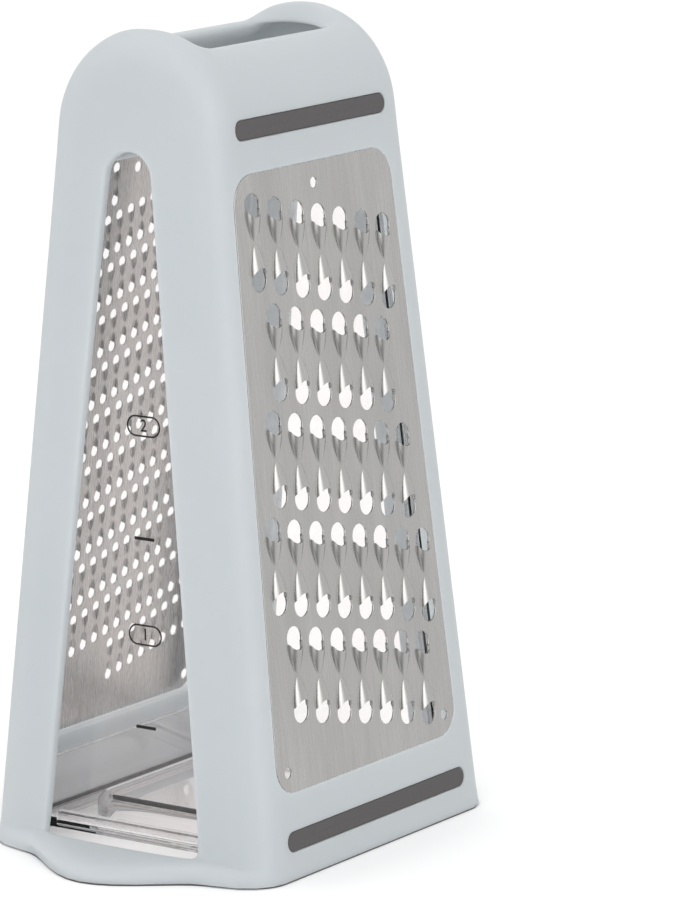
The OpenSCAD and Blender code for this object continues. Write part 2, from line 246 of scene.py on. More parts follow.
def addNoise(tree, place, size, detail):
    # a pattern with patches of about this size in mm
    return addNode(tree, "ShaderNodeTexNoise", {"Scale": perMm(size), "Detail": detail},
                   links={"Vector": place}).outputs["Fac"]


def addRelief(tree, shader, height, strength, depth):
    # a shallow relief of this depth in mm
    bump = addNode(tree, "ShaderNodeBump", {"Strength": strength, "Distance": depth * mm},
                   links={"Height": height})
    tree.links.new(bump.outputs["Normal"], shader.inputs["Normal"])


def mouldedAbs():
    # ABS from a fine-eroded mould: a satin skin whose grain only breaks the highlights
    finish, tree, shader = newFinish("moulded_abs", IOR=1.53, Subsurface_Weight=0.6,
                                     Subsurface_Scale=6 * mm, Subsurface_Radius=(1, 0.95, 0.9))
    place = coordinates(tree)
    cloud = addNoise(tree, place, size=60, detail=2)
    toneBetween(tree, shader, cloud, dark="#B4BABD", light="#BABFC2")
    # the real grain is 0.05 mm, drawn at 0.35 mm so that it shows
    grain = addNoise(tree, place, size=0.35, detail=1)
    roughBetween(tree, shader, grain, low=0.36, high=0.5)
    addRelief(tree, shader, grain, strength=0.08, depth=0.02)
    return finish


def brushedSteel():
    # stainless sheet brushed up and down: long fine lines that spread the reflections sideways
    finish, tree, shader = newFinish("brushed_steel", Metallic=1)
    # the real lines are 0.05 mm wide, drawn at 0.3 mm so that they show
    lines = addNode(tree, "ShaderNodeTexNoise", {"Scale": 1, "Detail": 3, "Roughness": 0.6},
                    links={"Vector": coordinates(tree, (perMm(0.3), perMm(12), perMm(12)))})
    smears = addNode(tree, "ShaderNodeTexNoise", {"Scale": 1, "Detail": 2},
                     links={"Vector": coordinates(tree, (perMm(7), perMm(45), perMm(45)))})
    both = addNode(tree, "ShaderNodeMath", settings={"operation": "MULTIPLY"},
                   links={0: lines.outputs["Fac"], 1: smears.outputs["Fac"]})
    spread = addNode(tree, "ShaderNodeMapRange", {"From Min": 0.15, "From Max": 0.4},
                     links={"Value": both.outputs["Value"]})
    toneBetween(tree, shader, spread.outputs["Result"], dark="#BDBCBA", light="#C9C8C6")
    roughBetween(tree, shader, lines.outputs["Fac"], low=0.2, high=0.34)
    addRelief(tree, shader, lines.outputs["Fac"], strength=0.12, depth=0.02)
    return finish


def softRubber(name="soft_rubber", dark="#4C4A4A", light="#595656"):
    # thermoplastic rubber: matte and dark, with a fine open grain
    finish, tree, shader = newFinish(name, Roughness=0.7, IOR=1.5)
    grain = addNoise(tree, coordinates(tree), size=0.6, detail=3)
    toneBetween(tree, shader, grain, dark, light)
    addRelief(tree, shader, grain, strength=0.25, depth=0.03)
    return finish


def clearStyrene():
    # styrene acrylonitrile, moulded clear: glassy, a little warm, darker with each wall behind it
    finish, tree, shader = newFinish("clear_styrene", Roughness=0.03, IOR=1.5,
                                     Transmission_Weight=1)
    flow = addNoise(tree, coordinates(tree), size=18, detail=1)
    toneBetween(tree, shader, flow, dark="#FBF6F5", light="#FEFCFC")
    addRelief(tree, shader, flow, strength=0.1, depth=0.05)
    return finish


def printInk():
    # pad-printed ink: black, flat, a little uneven where the pad lifted
    finish, tree, shader = newFinish("print_ink", Roughness=0.5)
    patch = addNoise(tree, coordinates(tree), size=0.8, detail=2)
    toneBetween(tree, shader, patch, dark="#0C0B0B", light="#1E1B1B")
    return finish


absFinish = mouldedAbs()
steelFinish = brushedSteel()
rubberFinish = softRubber()
clearFinish = clearStyrene()
inkFinish = printInk()
print("finishes made")


def paint(piece, finish):
    piece.data.materials.clear()
    piece.data.materials.append(finish)


def handOver(piece, finish, body, slot, *nodes):
    # finish and body of a new piece, and the nodes that it stands for
    paint(piece, finish)
    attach(piece, body)
    if nodes:
        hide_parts(*nodes)


# Housing: one moulded shell, laid out on a quarter grid and mirrored twice

# lengths are in mm, leans and turns in degrees
housing = {
    "width": 99, "depth": 88.9, "height": 209.4, "footZ": 0.5, "faceLean": 5.8, "endLean": 2.3,
    "edgeRadius": 8.1, "rimRadius": 9, "tightShare": 0.9, "crownGrow": 1.006,
    "wall": 3, "crownWall": 4.3, "thickFrom": 170, "thickTo": 195,
    "sillZ": 5.6, "sillBow": 0.6, "windowTaper": 0.0964, "archRadius": 6.8, "archZ": 172.6,
    "ledgeHeight": 5.5, "ledgeReach": 12, "ledgeHalf": 26.5, "ledgePower": 2.6, "ledgeFade": 32,
    "bulgePower": 1.9, "bulgeEndPower": 1.6,
    "skirtReach": 6.4, "skirtHalf": 43, "skirtPower": 2.6,
    "windowShift": 2.4, "windowShiftFrom": 2, "windowShiftTop": 172, "windowShiftPower": 0.6,
    "windowShiftFade": 14, "endWallBand": 1,
    "slotHalf": 12.9, "slotEnd": 27.2, "slotBow": 2, "slotShare": 0.8, "rimLift": 1.1,
    "crestTurn": 54, "slotEdgeShare": 0.83,
    "saddleZ": 204.2, "saddleLift": 0.2, "rampFrom": 25, "rampTo": 34,
    "tipHalf": 11, "tipEnd": 31, "tipWallShare": 0.25, "tipFrom": 25.5, "tipTo": 33,
    "mirrorGap": 0.01, "mergeGap": 0.02, "footBand": 1, "creaseBand": 0.6,
}
faceLean = math.radians(housing["faceLean"])
endLean = math.radians(housing["endLean"])
leanSin = math.sin(faceLean)
leanCos = math.cos(faceLean)
crownRadius = (housing["depth"] / 2 * leanCos - housing["height"] * leanSin) / (1 - leanSin)
crownZ = housing["height"] - crownRadius


def faceY(z):
    return housing["depth"] / 2 - z * math.tan(faceLean)


def endX(z):
    return housing["width"] / 2 - z * math.tan(endLean)


# rows of the grid: through the ledge, up the leaning face, then over the crown
sillRow = 6
footRows = [housing["footZ"] + (housing["sillZ"] - housing["footZ"]) * k / sillRow
            for k in range(sillRow + 1)]
faceRows = footRows + [9, 14, 24, 45, 70, 95, 120, 142, 158, 167, housing["archZ"], 179.5]
crownTurns = [housing["faceLean"], 15, 26, 37, 46, housing["crestTurn"], 62, 70, 78, 84, 90]
archTurns = [0, 8, 16, 25, 35, 45, 54, 62, 69, 75, 80, 85, 90]
archRow = faceRows.index(housing["archZ"])
crestRow = len(faceRows) + crownTurns.index(housing["crestTurn"])
lastRow = len(faceRows) + len(crownTurns) - 1

# columns of the grid: along the face, round the edge, across the end, under the window
faceShares = [0, 0.34, 0.59, 0.73, housing["slotEdgeShare"], 0.94, 1]
edgeTurns = [30, 60, 90]
endShares = [0.25, 0.5, 0.72, 0.87, 1]
sillShares = [0.82, 0.6, 0.38, 0.18, 0]
edgeColumn = len(faceShares)
endColumn = edgeColumn + len(edgeTurns)
windowColumn = endColumn + len(endShares) - 1
lastColumn = windowColumn + len(sillShares)
slotColumn = faceShares.index(housing["slotEdgeShare"])

# section of the ledge by row: its turn from the foot to the sill, and the flare beside it
ledgeTurns = [0, 12, 27, 42, 57, 74, 90]
flareShares = [1, 0.97, 0.9, 0.78, 0.6, 0.36, 0.1, 0.02]


def outlinePoint(row):
    # the housing's outline seen from its end, with the way that it faces
    if row < len(faceRows):
        z = faceRows[row]
        return faceY(z), z, leanCos, leanSin
    turn = math.radians(crownTurns[row - len(faceRows)])
    radius = crownRadius * housing["crownGrow"]     # makes up for what the smoothing takes off
    return radius * math.cos(turn), crownZ + radius * math.sin(turn), math.cos(turn), math.sin(turn)


def windowPoint(row):
    if row <= archRow:
        z = max(faceRows[row], housing["sillZ"])
        return housing["archRadius"] + (housing["archZ"] - z) * housing["windowTaper"], z
    turn = math.radians(archTurns[row - archRow])
    radius = housing["archRadius"]
    return radius * math.cos(turn), housing["archZ"] + radius * math.sin(turn)


windowHalf = windowPoint(0)[0]


def ledgeReach(y):
    # seen from above: a shallow skirt over the whole end, with the ledge's bulge in its middle
    skirt = housing["skirtReach"] * (1 - min(1, y / housing["skirtHalf"]) ** housing["skirtPower"])
    inside = 1 - min(1, y / housing["ledgeHalf"]) ** housing["bulgePower"]
    return skirt + housing["ledgeReach"] * inside ** housing["bulgeEndPower"]


def ledgePoint(row, y, z):
    # how far a point of the foot rows stands out from the end, and its height there
    reach = ledgeReach(y)
    flare = reach * flareShares[row]
    if row > sillRow:
        return flare, z
    turn = math.radians(ledgeTurns[row])
    power = 2 / housing["ledgePower"]
    out, high = reach * math.cos(turn) ** power, housing["ledgeHeight"] * math.sin(turn) ** power
    if row == sillRow:
        out, high = housing["sillBow"], housing["sillZ"]
    beside = easeBetween(windowHalf, housing["ledgeFade"], y)
    high = max(housing["footZ"], high)
    return out * (1 - beside) + flare * beside, high * (1 - beside) + z * beside


def saddleHeight(x):
    # the rim of the opening in the crown: low along its sides, rising past its ends
    rise = housing["height"] - housing["saddleZ"]
    return housing["saddleZ"] + rise * easeBetween(housing["rampFrom"], housing["rampTo"], abs(x))


def slotPoint(row, column, x, y, z):
    # rows past the crest: the long rims of the opening, and its bowed edge at each end
    past = row - crestRow
    if column < slotColumn and past == 0:
        return x, housing["slotHalf"], housing["saddleZ"] + housing["rimLift"]
    if column == slotColumn:
        y = y * housing["slotShare"]
        x = housing["slotEnd"] - housing["slotBow"] * (y / housing["slotHalf"]) ** 2
        return x, y, saddleHeight(x) + (housing["rimLift"] if past == 0 else 0)
    return x, y, min(z, saddleHeight(x) + housing["saddleLift"])


def cagePoint(row, column):
    y, z, ny, nz = outlinePoint(row)
    rim = housing["edgeRadius"] + (housing["rimRadius"] - housing["edgeRadius"]) * z / housing["height"]
    rim = rim * housing["tightShare"]     # the smoothing widens the edge again
    if column < edgeColumn:
        x = faceShares[column] * (endX(z) - rim)
        if row >= crestRow:
            x, y, z = slotPoint(row, column, x, y, z)
        return Vector((x, -y, z))
    if column < endColumn:
        turn = math.radians(edgeTurns[column - edgeColumn])
        inset = rim * (1 - math.cos(turn))
        y, z = y - inset * ny, z - inset * nz
        x = endX(z) - rim + rim * math.sin(turn)
    else:
        rowZ = z
        y, z = y - rim * ny, z - rim * nz
        halfWindow, windowZ = windowPoint(row)
        if column <= windowColumn:
            share = endShares[column - endColumn]
            y, z = y + (halfWindow - y) * share, z + (windowZ - z) * share
        else:
            y = halfWindow * sillShares[column - windowColumn - 1]
        if row < sillRow or column > windowColumn:
            z = rowZ
        x = endX(z)
    out = 0
    if row < len(flareShares):
        out, z = ledgePoint(row, y, z)
    return Vector((x + out, -y, z))


def isOpening(index):
    row, column = divmod(index, lastColumn)
    window = row >= sillRow and column >= windowColumn
    slot = row >= crestRow and column < slotColumn
    return window or slot


def wallShare(x, y, z):
    # the crown is thicker than the walls, and runs out to an edge at the ends of its opening
    share = housing["wall"] / housing["crownWall"]
    share = share + (1 - share) * easeBetween(housing["thickFrom"], housing["thickTo"], z)
    if z > housing["saddleZ"] and y < housing["tipHalf"] and x < housing["tipEnd"]:
        thin = housing["tipWallShare"]
        share = thin + (1 - thin) * easeBetween(housing["tipFrom"], housing["tipTo"], x)
    return share


def widenWindow(shell):
    # each window's edge by the fine plate leans out a little further than the other one
    for vertex in shell.data.vertices:
        x, y, z = (c / mm for c in vertex.co)
        half = housing["archRadius"] + max(0, housing["archZ"] - z) * housing["windowTaper"]
        inBand = housing["windowShiftFrom"] <= z <= housing["windowShiftTop"]
        if not inBand or abs(x) < endX(z) - housing["endWallBand"]:
            continue
        reach = housing["windowShift"]
        reach = reach * (1 - z / housing["windowShiftTop"]) ** housing["windowShiftPower"]
        across = min(1, max(0, (y / half + 1) / 2))
        fade = 1 - easeBetween(0, housing["windowShiftFade"], abs(y) - half)
        vertex.co.y += reach * across * fade * mm


def mouldHousing():
    deselectAll()
    bpy.ops.mesh.primitive_grid_add(x_subdivisions=lastColumn, y_subdivisions=lastRow, size=1)
    shell = nameNew("housing_shell")
    for index, vertex in enumerate(shell.data.vertices):
        row, column = divmod(index, lastColumn + 1)
        vertex.co = cagePoint(row, column) * mm
    selectFaces(shell, lambda face: isOpening(face.index))
    bpy.ops.mesh.delete(type="FACE")
    bpy.ops.object.mode_set(mode="OBJECT")
    mirror = shell.modifiers.new("mirror", "MIRROR")
    mirror.use_axis = (True, True, False)
    mirror.use_clip = True
    mirror.merge_threshold = housing["mirrorGap"] * mm
    applyModifiers(shell)
    tidyNormals(shell, housing["mergeGap"])
    front = min(shell.data.polygons, key=lambda face: face.center.y)
    if front.normal.y > 0:
        shell.data.flip_normals()
    widenWindow(shell)

    group = shell.vertex_groups.new(name="wall")
    for vertex in shell.data.vertices:
        group.add([vertex.index], wallShare(*(abs(c) / mm for c in vertex.co)), "REPLACE")
    wall = shell.modifiers.new("wall", "SOLIDIFY")
    wall.thickness = housing["crownWall"] * mm
    wall.offset = -1
    wall.use_even_offset = True
    wall.vertex_group = "wall"
    applyModifiers(shell)

    # the foot is flat and keeps its edges
    points = shell.data.vertices
    for vertex in points:
        if vertex.co.z < housing["footBand"] * mm:
            vertex.co.z = housing["footZ"] * mm
    crease = shell.data.attributes.new("crease_edge", "FLOAT", "EDGE")
    for edge in shell.data.edges:
        if max(points[v].co.z for v in edge.vertices) < housing["creaseBand"] * mm:
            crease.data[edge.index].value = 1
    smooth = shell.modifiers.new("smooth", "SUBSURF")
    smooth.levels = smooth.render_levels = 2
    applyModifiers(shell)
    return shell


def ontoFace(piece, back=False):
    # from a face's own plan, x across, y up the face and z out of it, to its place
    place = Matrix.Translation((0, -housing["depth"] / 2 * mm, 0))
    place = place @ Matrix.Rotation(math.pi / 2 - faceLean, 4, "X")
    if back:
        place = Matrix.Rotation(math.pi, 4, "Z") @ place
    placeBy(piece, place)


# Plates and strips share one plan of each face, in mm

plate = {
    "shift": -1.9, "halfLow": 39.35, "halfHigh": 33.25, "low": 21.9, "high": 175.3,
    "corner": 7.5, "sheet": 0.5, "gap": 0.1, "seat": 1.6, "edge": 0.08, "smoothAngle": 40,
    "indexRadius": 1.4, "indexEnd": 5.3, "indexSide": 5, "slant": -0.223,
    "tipPower": 0.5, "slopePower": 0.75, "toothSheetShare": 0.97, "toothWeld": 0.005,
    "rimZ": 0.012, "punchReach": 1,
}
strip = {
    "height": 5, "thick": 1.2, "sink": 0.15, "gap": 0.1, "edge": 0.3,
    "places": {"upper": (31.95, 186.2), "lower": (39.0, 9.8)},     # half length, middle
}
seat = {"under": 0.02, "flare": 0.2, "overrun": 3, "through": 8}
halfRoundShare = 0.999     # corners this close to half the height make a half-round end


def stripTablet(name, half, middle, grow, bottom, top, flare=0):
    reach = strip["height"] / 2 + grow
    return drawTablet(name, half + grow, half + grow, middle - reach, middle + reach,
                      reach * halfRoundShare, bottom, top, flare)


def shiftPlate(piece, back):
    # both plates sit nearer the -X end, which is the other way in the back's own plan
    shift = -plate["shift"] if back else plate["shift"]
    placeBy(piece, Matrix.Translation((shift * mm, 0, 0)))


def plateTablet(name, grow, bottom, top, back, flare=0):
    tablet = drawTablet(name, plate["halfLow"] + grow, plate["halfHigh"] + grow,
                        plate["low"] - grow, plate["high"] + grow, plate["corner"] + grow,
                        bottom, top, flare)
    shiftPlate(tablet, back)
    return tablet


def cutSeats(shell):
    # seats for the plates and strips, then the openings behind the plates
    seats, holes = [], []
    for back in (False, True):
        depth = strip["thick"] + strip["sink"]
        side = [plateTablet("seat", plate["gap"], -plate["sheet"] - seat["under"],
                            seat["overrun"], back, seat["flare"])]
        for half, middle in strip["places"].values():
            side.append(stripTablet("seat", half, middle, strip["gap"], -depth,
                                    seat["overrun"], seat["flare"]))
        hole = plateTablet("hole", -plate["seat"], -seat["through"], seat["overrun"], back)
        for piece in side + [hole]:
            ontoFace(piece, back)
        seats += side
        holes.append(hole)
    combine(shell, joinAll(seats, "seats"))
    combine(shell, joinAll(holes, "holes"))


housingShell = mouldHousing()
cutSeats(housingShell)
smoothShade(housingShell)
handOver(housingShell, absFinish, "grater", "housing", "housing")
print("housing:", len(housingShell.data.polygons), "faces")


# Strips: soft inserts, a little under the face, with rounded edges

def makeStrip(node, half, middle, back):
    top = -strip["sink"]
    piece = stripTablet(node + "_insert", half, middle, 0, top - strip["thick"], top)
    roundFace(piece, strip["edge"], segments=3)
    ontoFace(piece, back)
    smoothShade(piece)
    handOver(piece, rubberFinish, "grater", "grip", node)


for side in ("front", "back"):
    for level, (half, middle) in strip["places"].items():
        makeStrip(side + "_" + level + "_strip", half, middle, side == "back")
paint(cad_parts["foot_ring"], softRubber("foot_rubber", "#4C4B4B", "#5A5959"))
print("strips made")


# Plates: sheet with round openings in facing pairs, each with a raised, hollow tooth

coarse = {
    "pitch": 9, "pairPitch": 27, "pairGap": 18.5, "top": 161.4, "shift": 0.5, "middle": 1.9,
    "margin": 4.8, "bottomMargin": 6.5, "clear": 4.5,
    "radius": 3, "reach": 9.1, "lift": 1.4, "half": 2.8, "rim": 0.35, "sides": 40,
    "across": [-90, -68, -45, -22, 0, 22, 45, 68, 90], "steps": 7,
}
fine = {
    "pitch": 4.64, "pairPitch": 13, "pairGap": 8.4, "top": 173.2, "shift": -0.4, "middle": -1.9,
    "margin": 3.9, "bottomMargin": 12, "clear": 4.64,
    "radius": 1.45, "reach": 3.75, "lift": 0.55, "half": 1.25, "rim": 0.14, "sides": 24,
    "across": [-90, -50, 0, 50, 90], "steps": 3,
}


def plateHalf(s):
    share = (s - plate["low"]) / (plate["high"] - plate["low"])
    return plate["halfLow"] + (plate["halfHigh"] - plate["halfLow"]) * share


indexSpots = [(0, plate["high"] - plate["indexEnd"]),
              (plate["halfLow"] - plate["indexSide"], plate["low"] + plate["indexEnd"]),
              (plate["indexSide"] - plate["halfLow"], plate["low"] + plate["indexEnd"])]


def clearOfIndex(x, s, clear):
    return all(math.dist((x, s), spot) - plate["indexRadius"] > clear for spot in indexSpots)


def toothSpots(teeth):
    # pairs of rows alternate by half a pitch and slant about the housing's middle
    spots = []
    pairs = math.ceil((plate["high"] - plate["low"]) / teeth["pairPitch"])
    columns = math.ceil(plate["halfLow"] / teeth["pitch"])
    for pair in range(pairs + 1):
        for column in range(-columns, columns + 1):
            x = teeth["shift"] + (column + pair % 2 / 2) * teeth["pitch"]
            s = teeth["top"] - pair * teeth["pairPitch"] + plate["slant"] * (x - teeth["middle"])
            low = s - teeth["pairGap"]
            inside = s < plate["high"] - teeth["margin"] and abs(x) < plateHalf(s) - teeth["margin"]
            if (inside and low > plate["low"] + teeth["bottomMargin"]
                    and clearOfIndex(x, s, teeth["clear"]) and clearOfIndex(x, low, teeth["clear"])):
                spots += [(x, s, False), (x, low, True)]
    return spots


def toothShare(teeth, u):
    # 0 at a tooth's tip and 1 over its opening, at a distance u from the opening's middle
    return min(1, max(0, (teeth["reach"] - u) / (teeth["reach"] - teeth["radius"])))


def toothHalf(teeth, u):
    # seen from the front a tooth is a parabola with a round tip
    return teeth["half"] * toothShare(teeth, u) ** plate["tipPower"]


def toothHeight(teeth, u):
    # steepest at the tip, easing towards the lip
    return teeth["lift"] * toothShare(teeth, u) ** plate["slopePower"]


def lipDistance(teeth, x):
    # the lip follows the round of the opening
    return math.sqrt(teeth["radius"] ** 2 - x * x)


def toothPoint(teeth, turn, step):
    # a point of the tooth's skin: turn goes over its round back, step from the lip to the tip
    turn = math.radians(turn)
    start = lipDistance(teeth, teeth["half"] * math.sin(turn))
    u = teeth["reach"] - (teeth["reach"] - start) * (1 - step) ** 2
    return toothHalf(teeth, u) * math.sin(turn), u, toothHeight(teeth, u) * math.cos(turn)


def rimPoint(teeth, sign, step):
    # a narrow rim round the tooth, which softens its foot into the sheet
    x, u, _ = toothPoint(teeth, 90 * sign, step)
    small, steep = 0.01, 1e6     # the tip's own slope is endless
    slope = (toothHalf(teeth, u - small) - toothHalf(teeth, u)) / small if step < 1 else steep
    length = math.hypot(1, slope)
    return x + sign * teeth["rim"] / length, u + teeth["rim"] * slope / length, plate["rimZ"]


def makeTooth(teeth):
    # a grid bent to the tooth's skin, with a column for the rim on each side
    turns = ["left rim"] + teeth["across"] + ["right rim"]
    last = len(turns) - 1
    deselectAll()
    bpy.ops.mesh.primitive_grid_add(x_subdivisions=last, y_subdivisions=teeth["steps"], size=1)
    tooth = nameNew("tooth")
    for index, vertex in enumerate(tooth.data.vertices):
        step, column = divmod(index, len(turns))
        step = step / teeth["steps"]
        if column in (0, last):
            x, u, z = rimPoint(teeth, -1 if column == 0 else 1, step)
        else:
            x, u, z = toothPoint(teeth, turns[column], step)
        vertex.co = Vector((x, -u, z)) * mm
    editAll(tooth)
    bpy.ops.mesh.remove_doubles(threshold=plate["toothWeld"] * mm)
    bpy.ops.object.mode_set(mode="OBJECT")
    if sum(face.normal.z for face in tooth.data.polygons) < 0:
        tooth.data.flip_normals()
    sheet = tooth.modifiers.new("sheet", "SOLIDIFY")
    sheet.thickness = plate["sheet"] * plate["toothSheetShare"] * mm
    sheet.offset = -1
    applyModifiers(tooth)
    return tooth


def makePunch(teeth):
    # the outline punched out of the sheet: the opening's round and the tooth's foot in one
    deselectAll()
    bpy.ops.mesh.primitive_circle_add(vertices=teeth["sides"], radius=1, fill_type="NGON")
    punch = nameNew("punch")
    corner = lipDistance(teeth, teeth["half"])
    opening = math.atan2(teeth["half"], corner)
    for vertex in punch.data.vertices:
        turn = math.atan2(vertex.co.x, -vertex.co.y)      # 0 towards the tooth's tip
        x, u = teeth["radius"] * math.sin(turn), teeth["radius"] * math.cos(turn)
        if abs(turn) < opening:
            u = teeth["reach"] - (teeth["reach"] - corner) * (turn / opening) ** 2
            x = math.copysign(toothHalf(teeth, u), turn)
        vertex.co = Vector((x, -u, -plate["punchReach"])) * mm
    editAll(punch)
    through = 2 * plate["punchReach"] * mm
    bpy.ops.mesh.extrude_region_move(TRANSFORM_OT_translate={"value": (0, 0, through)})
    bpy.ops.object.mode_set(mode="OBJECT")
    tidyNormals(punch)
    return punch


def copyToSpots(piece, spots, name):
    # one copy with its own mesh at each spot, turned round where the pair faces up
    copies = []
    for x, s, turned in spots:
        copy = piece.copy()
        copy.data = piece.data.copy()
        bpy.context.collection.objects.link(copy)
        turn = Matrix.Rotation(math.pi, 4, "Z") if turned else Matrix.Identity(4)
        copy.data.transform(Matrix.Translation((x * mm, s * mm, 0)) @ turn)
        copies.append(copy)
    bpy.data.objects.remove(piece, do_unlink=True)
    return joinAll(copies, name)


def makeIndexHoles():
    deselectAll()
    bpy.ops.mesh.primitive_cylinder_add(vertices=32, radius=plate["indexRadius"] * mm,
                                        depth=2 * plate["punchReach"] * mm)
    return copyToSpots(nameNew("index"), [(x, s, False) for x, s in indexSpots], "index_holes")


def makePlate(node, teeth, back):
    sheet = drawTablet(node + "_sheet", plate["halfLow"], plate["halfHigh"], plate["low"],
                       plate["high"], plate["corner"], -plate["sheet"], 0)
    spots = toothSpots(teeth)
    punches = copyToSpots(makePunch(teeth), spots, "punches")
    combine(sheet, joinAll([punches, makeIndexHoles()], "punches"))
    roundEdges(sheet, plate["edge"], segments=1)
    teethPiece = copyToSpots(makeTooth(teeth), spots, "teeth")
    sheet = joinAll([sheet, teethPiece], node + "_sheet")
    shiftPlate(sheet, back)
    ontoFace(sheet, back)
    smoothShade(sheet, plate["smoothAngle"])
    sheet.visible_shadow = sheet.visible_diffuse = False     # the room's light reaches the inside
    handOver(sheet, steelFinish, "grater", "steel", node)
    print(node + ":", len(spots), "openings,", len(sheet.data.polygons), "faces")


makePlate("coarse_plate", coarse, back=False)
makePlate("fine_plate", fine, back=True)


# Container: a clear tray with two tall end walls and a raised, hollow middle

tray = {
    "endHalf": 41.3, "endHalfTop": 37.75, "sideHalf": 40.25, "sideHalfTop": 20.74, "height": 182,
    "wall": 2.2, "corner": 5, "floorZ": 5.5, "floorThick": 2,
    "raiseZ": 11, "raiseHalf": 31, "raiseSide": 26.5, "raiseCorner": 9, "raiseRound": 3.2,
    "sideZ": 19, "return": 7, "lipReach": 3, "lipHalf": 26.5, "lipThick": 3.4, "lipCorner": 1.9,
    "insideRound": 1.8, "edge": 0.4, "overlap": 1,
    "overrun": 5, "sideOverrun": 20, "sideReach": 60,
}


def trayHalves(z):
    share = z / tray["height"]
    return (tray["endHalf"] + (tray["endHalfTop"] - tray["endHalf"]) * share,
            tray["sideHalf"] + (tray["sideHalfTop"] - tray["sideHalf"]) * share)


def trayBlock(name, shrink, low, high, footRound=0):
    # a tapered block with round upright edges, and a round foot where one is asked for
    deselectAll()
    bpy.ops.mesh.primitive_cube_add(size=2)
    block = nameNew(name)
    for vertex in block.data.vertices:
        z = high if vertex.co.z > 0 else low
        halfX, halfY = trayHalves(z)
        vertex.co = Vector((math.copysign(halfX - shrink, vertex.co.x),
                            math.copysign(halfY - shrink, vertex.co.y), z)) * mm
    halfway = (high - low) / 2 * mm
    selectEdges(block, lambda a, b: abs(a.z - b.z) > halfway)
    bpy.ops.mesh.bevel(offset=(tray["corner"] - shrink) * mm, segments=8, affect="EDGES")
    bpy.ops.object.mode_set(mode="OBJECT")
    if footRound:
        roundFace(block, footRound, segments=4, up=-1)
    return block


def raisedMiddle(name, shrink, bottom, top, edgeRound):
    x, y = tray["raiseHalf"] - shrink, tray["raiseSide"] - shrink
    middle = drawTablet(name, x, x, -y, y, tray["raiseCorner"] - shrink, bottom, top)
    roundFace(middle, edgeRound, segments=4)
    return middle


def makeTray():
    wall, floorZ, height, overrun = tray["wall"], tray["floorZ"], tray["height"], tray["overrun"]
    piece = trayBlock("clear_tray", 0, 0, height)
    combine(piece, trayBlock("inside", wall, floorZ, height + overrun, tray["insideRound"]))
    cut = drawTablet("side_cut", tray["endHalf"] - tray["return"],
                     tray["endHalfTop"] - tray["return"], tray["sideZ"],
                     height + tray["sideOverrun"], tray["corner"],
                     -tray["sideReach"], tray["sideReach"])
    placeBy(cut, Matrix.Rotation(math.pi / 2, 4, "X"))
    combine(piece, cut)
    combine(piece, trayBlock("underside", wall, -overrun, floorZ - tray["floorThick"]))
    middle = raisedMiddle("middle", 0, floorZ - tray["overlap"], tray["raiseZ"], tray["raiseRound"])
    combine(piece, middle, "UNION")
    combine(piece, raisedMiddle("hollow", wall, -overrun, tray["raiseZ"] - wall, tray["raiseRound"] / 2))
    for sign in (-1, 1):
        inner, outer = tray["endHalf"] - tray["overlap"], tray["endHalf"] + tray["lipReach"]
        half = (outer - inner) / 2
        lip = drawTablet("lip", half, half, -tray["lipHalf"], tray["lipHalf"], tray["lipCorner"],
                         floorZ, floorZ + tray["lipThick"])
        placeBy(lip, Matrix.Translation((sign * (inner + outer) / 2 * mm, 0, 0)))
        combine(piece, lip, "UNION")
    roundEdges(piece, tray["edge"], segments=3)
    smoothShade(piece)
    piece.visible_shadow = piece.visible_diffuse = False     # soft light passes through it
    handOver(piece, clearFinish, "container", "container", "container")
    print("container:", len(piece.data.polygons), "faces")


makeTray()


# Marks: plain numbers and lines printed on the end wall, in mm up the wall

marks = {
    "middle": 1, "skin": 0.05, "line": 0.45, "capsuleHalf": 5.2, "capsuleHeight": 5.4,
    "numbers": {"2": 110.8, "1": 57.7}, "numberSize": 4.4, "bold": 0.03,
    "dashes": [82.3, 34], "dashHalf": 3.1, "dashHeight": 0.8, "dashCornerShare": 0.6,
    "overrun": 1, "offWall": 0.02,
}


def capsuleMark(z):
    # a ring with half-round ends
    half, line, overrun = marks["capsuleHeight"] / 2, marks["line"], marks["overrun"]
    outer, inner = marks["capsuleHalf"], marks["capsuleHalf"] - line
    ring = drawTablet("capsule", outer, outer, z - half, z + half,
                      half * halfRoundShare, 0, marks["skin"])
    hole = drawTablet("hole", inner, inner, z - half + line, z + half - line,
                      (half - line) * halfRoundShare, -overrun, overrun)
    combine(ring, hole)
    return ring


def numberMark(number, z):
    deselectAll()
    bpy.ops.object.text_add()
    text = bpy.context.object
    text.data.body = number
    text.data.size = marks["numberSize"] * mm
    text.data.align_x = "CENTER"
    text.data.align_y = "CENTER"
    text.data.extrude = marks["skin"] / 2 * mm
    text.data.offset = marks["bold"] * mm
    bpy.ops.object.convert(target="MESH")
    text = nameNew("number")
    placeBy(text, Matrix.Translation((0, z * mm, marks["skin"] / 2 * mm)))
    return text


def makeMarks():
    pieces = [capsuleMark(z) for z in marks["numbers"].values()]
    pieces += [numberMark(number, z) for number, z in marks["numbers"].items()]
    for z in marks["dashes"]:
        half = marks["dashHeight"] / 2
        pieces.append(drawTablet("dash", marks["dashHalf"], marks["dashHalf"], z - half, z + half,
                                 half * marks["dashCornerShare"], 0, marks["skin"]))
    piece = joinAll(pieces, "measuring_marks")
    # from the wall's own plan to the leaning wall at the -X end
    lean = math.atan((tray["endHalf"] - tray["endHalfTop"]) / tray["height"])
    place = Matrix(((0, 0, -1, 0), (-1, 0, 0, 0), (0, 1, 0, 0), (0, 0, 0, 1)))
    place = Matrix.Rotation(lean, 4, "Y") @ place
    out = (tray["endHalf"] * math.cos(lean) + marks["offWall"]) * mm
    placeBy(piece, Matrix.Translation((-out, -marks["middle"] * mm, 0)) @ place)
    handOver(piece, inkFinish, "container", "marks")
    print("marks printed")


